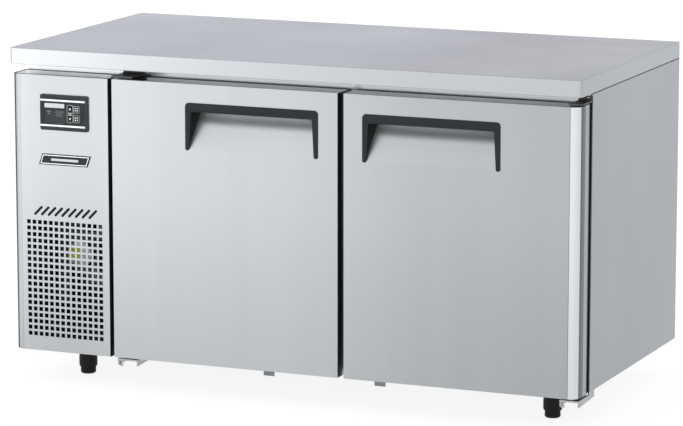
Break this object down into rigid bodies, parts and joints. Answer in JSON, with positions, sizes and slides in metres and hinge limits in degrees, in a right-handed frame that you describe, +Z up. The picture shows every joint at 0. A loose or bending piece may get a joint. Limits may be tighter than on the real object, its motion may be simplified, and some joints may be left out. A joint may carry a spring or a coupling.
{
  "type": "under-counter refrigerator",
  "caption": "Stainless under-counter refrigerator with two hinged doors, recessed handles, a flat worktop and a side-mounted cooling unit on levelling feet.",
  "frame": {"origin": "on the floor, under the middle of the worktop", "axes": "+X to the right along the width, -Y towards the front with the doors, +Z up"},
  "size_m": [1.5, 0.75, 0.85],
  "materials": {
    "worktop_steel": "satin brushed stainless sheet",
    "door_steel": "satin brushed stainless sheet",
    "side_steel": "satin brushed stainless sheet",
    "frame_steel": "satin stainless sheet",
    "inner_steel": "bright stainless sheet",
    "galvanised": "galvanised sheet",
    "foam": "rigid insulation foam",
    "controller_plastic": "charcoal moulded plastic",
    "window_plastic": "smoked glossy window",
    "badge_black": "gloss black plate with a silver line",
    "black_enamel": "black enamel",
    "fins": "mill-finish fins",
    "copper": "drawn copper pipe",
    "black_plastic": "black moulded plastic",
    "fan_plastic": "black moulded plastic",
    "shelf_wire": "plated wire",
    "hinge_metal": "dark zinc plate",
    "nylon": "natural nylon",
    "liner_plastic": "white moulded sheet",
    "gasket_rubber": "black magnetic gasket",
    "handle_plastic": "charcoal fine-textured plastic",
    "key_plastic": "soft black keys"
  },
  "bodies": {
    "cabinet": {"worktop": "worktop_steel", "side_panel_left": "side_steel", "side_panel_right": "side_steel", "back_panel": "galvanised", "base_panel": "galvanised", "front_frame": "frame_steel", "insulation_body": "foam", "inner_liner": "inner_steel", "machine_panel": "door_steel", "controller_bezel": "controller_plastic", "display_window": "window_plastic", "badge_plate": "badge_black", "unit_plate": "galvanised", "compressor": "black_enamel", "condenser_coil": "fins", "fan_shroud": "galvanised", "condenser_fan_motor": "black_enamel", "discharge_pipe": "copper", "suction_pipe": "copper", "cord_gland": "black_plastic", "evaporator_coil": "fins", "evaporator_cover": "inner_steel", "evaporator_fan_motor": "black_enamel", "rack_left": "inner_steel", "rack_centre": "inner_steel", "rack_right": "inner_steel", "hinge_top_left": "hinge_metal", "hinge_bottom_left": "hinge_metal", "hinge_top_right": "hinge_metal", "hinge_bottom_right": "hinge_metal", "leg_front_left": "black_plastic", "leg_front_right": "black_plastic", "leg_rear_left": "black_plastic", "leg_rear_right": "black_plastic"},
    "door_left": {"door_left_skin": "door_steel", "door_left_core": "foam", "door_left_liner": "liner_plastic", "door_left_gasket": "gasket_rubber", "door_left_handle": "handle_plastic", "door_left_bush_top": "nylon", "door_left_bush_bottom": "nylon"},
    "door_right": {"door_right_skin": "door_steel", "door_right_core": "foam", "door_right_liner": "liner_plastic", "door_right_gasket": "gasket_rubber", "door_right_handle": "handle_plastic", "door_right_bush_top": "nylon", "door_right_bush_bottom": "nylon"},
    "shelf_left": {"shelf_left": "shelf_wire"},
    "shelf_right": {"shelf_right": "shelf_wire"},
    "foot_front_left": {"foot_front_left": "black_plastic"},
    "foot_front_right": {"foot_front_right": "black_plastic"},
    "foot_rear_left": {"foot_rear_left": "black_plastic"},
    "foot_rear_right": {"foot_rear_right": "black_plastic"},
    "condenser_fan": {"condenser_fan_blade": "fan_plastic"},
    "evaporator_fan": {"evaporator_fan_blade": "fan_plastic"},
    "key_up": {"key_up": "key_plastic"},
    "key_down": {"key_down": "key_plastic"},
    "key_set": {"key_set": "key_plastic"},
    "key_power": {"key_power": "key_plastic"}
  },
  "joints": [
    {"name": "door_left_hinge", "type": "hinge", "parent": "cabinet", "child": "door_left", "pos_m": [-0.4535, -0.351, 0.44], "axis": [0, 0, -1], "range_deg": [0, 105], "stiffness_Nm_per_rad": 1.2, "springref_deg": -5.73},
    {"name": "door_right_hinge", "type": "hinge", "parent": "cabinet", "child": "door_right", "pos_m": [0.7275, -0.351, 0.44], "axis": [0, 0, 1], "range_deg": [0, 105], "stiffness_Nm_per_rad": 1.2, "springref_deg": -5.73},
    {"name": "shelf_left_lift", "type": "slide", "parent": "cabinet", "child": "shelf_left", "axis": [0, 0, 1], "range_m": [0, 0.2]},
    {"name": "shelf_right_lift", "type": "slide", "parent": "cabinet", "child": "shelf_right", "axis": [0, 0, 1], "range_m": [0, 0.2]},
    {"name": "foot_front_left_screw", "type": "hinge", "parent": "cabinet", "child": "foot_front_left", "pos_m": [-0.627, -0.203, 0], "axis": [0, 0, 1], "continuous": true},
    {"name": "foot_front_right_screw", "type": "hinge", "parent": "cabinet", "child": "foot_front_right", "pos_m": [0.627, -0.203, 0], "axis": [0, 0, 1], "continuous": true},
    {"name": "foot_rear_left_screw", "type": "hinge", "parent": "cabinet", "child": "foot_rear_left", "pos_m": [-0.54, 0.285, 0], "axis": [0, 0, 1], "continuous": true},
    {"name": "foot_rear_right_screw", "type": "hinge", "parent": "cabinet", "child": "foot_rear_right", "pos_m": [0.54, 0.285, 0], "axis": [0, 0, 1], "continuous": true},
    {"name": "condenser_fan_spin", "type": "hinge", "parent": "cabinet", "child": "condenser_fan", "pos_m": [-0.623, -0.182, 0.3156], "axis": [0, -1, 0], "continuous": true},
    {"name": "evaporator_fan_spin", "type": "hinge", "parent": "cabinet", "child": "evaporator_fan", "pos_m": [-0.374, 0.1, 0.6], "axis": [1, 0, 0], "continuous": true},
    {"name": "key_up_press", "type": "slide", "parent": "cabinet", "child": "key_up", "axis": [0, 1, 0], "range_m": [0, 0.0008], "stiffness_N_per_m": 500},
    {"name": "key_down_press", "type": "slide", "parent": "cabinet", "child": "key_down", "axis": [0, 1, 0], "range_m": [0, 0.0008], "stiffness_N_per_m": 500},
    {"name": "key_set_press", "type": "slide", "parent": "cabinet", "child": "key_set", "axis": [0, 1, 0], "range_m": [0, 0.0008], "stiffness_N_per_m": 500},
    {"name": "key_power_press", "type": "slide", "parent": "cabinet", "child": "key_power", "axis": [0, 1, 0], "range_m": [0, 0.0008], "stiffness_N_per_m": 500}
  ]
}
